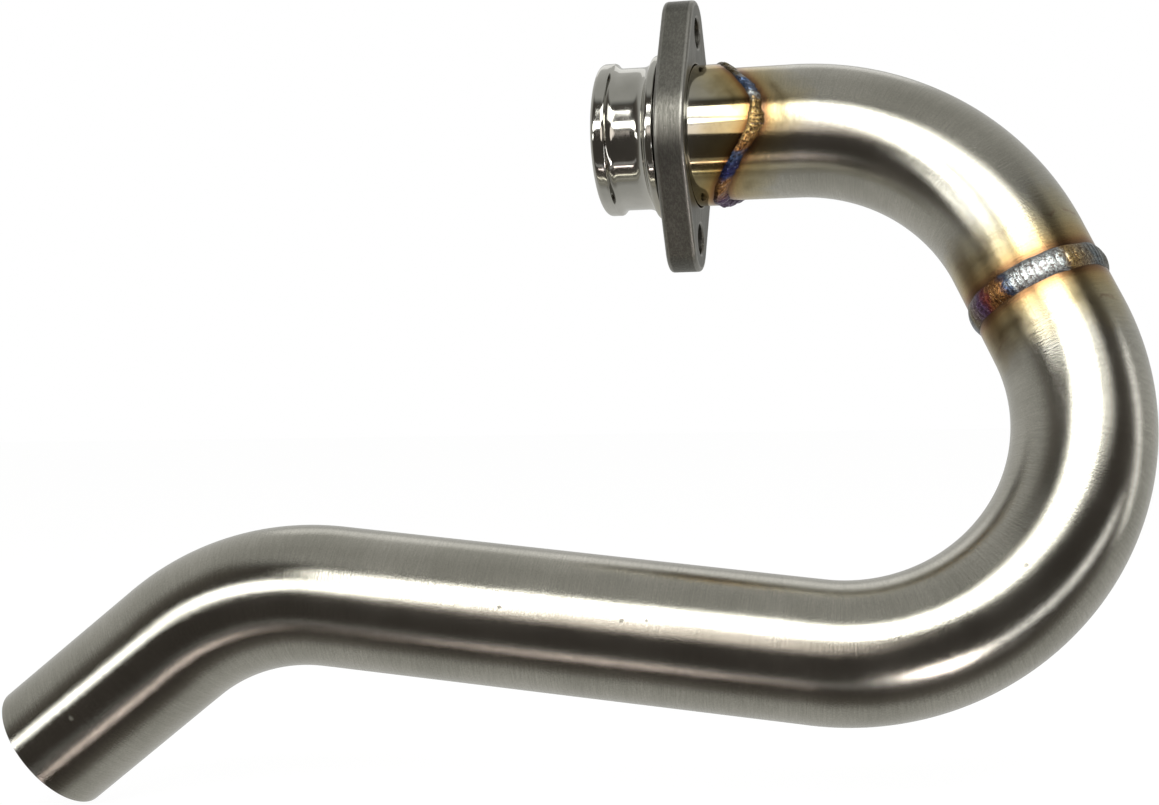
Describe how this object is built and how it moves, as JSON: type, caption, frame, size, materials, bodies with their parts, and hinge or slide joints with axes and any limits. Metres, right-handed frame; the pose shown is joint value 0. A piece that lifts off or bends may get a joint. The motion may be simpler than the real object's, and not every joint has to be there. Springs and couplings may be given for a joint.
{
  "type": "motorcycle exhaust header",
  "caption": "Bent steel exhaust header pipe with a turned port collar, a loose oval stud flange and welded joints; its outlet slips into the next pipe.",
  "frame": {"origin": "on the collar's axis, in the middle of the locating lip that enters the exhaust port", "axes": "+X along the collar's axis away from the cylinder head, +Z along the flange's long axis through both stud holes, -Y towards the side that the long run lies on"},
  "size_m": [0.3131, 0.1077, 0.2255],
  "materials": {
    "turned_steel": "polished, straw heat tint by the weld",
    "flange_steel": "matte blasted",
    "tube_steel": "satin brushed, heat tint by the welds",
    "weld_bead": "rippled, blue and gold heat colours"
  },
  "bodies": {
    "header_pipe": {"flange_collar": "turned_steel", "head_tube": "tube_steel", "main_tube": "tube_steel", "collar_weld": "weld_bead", "mid_weld": "weld_bead"},
    "flange": {"swivel_flange": "flange_steel"}
  },
  "joints": [
    {"name": "flange_swivel", "type": "hinge", "parent": "header_pipe", "child": "flange", "pos_m": [0.0204, 0, 0], "axis": [1, 0, 0], "continuous": true}
  ]
}
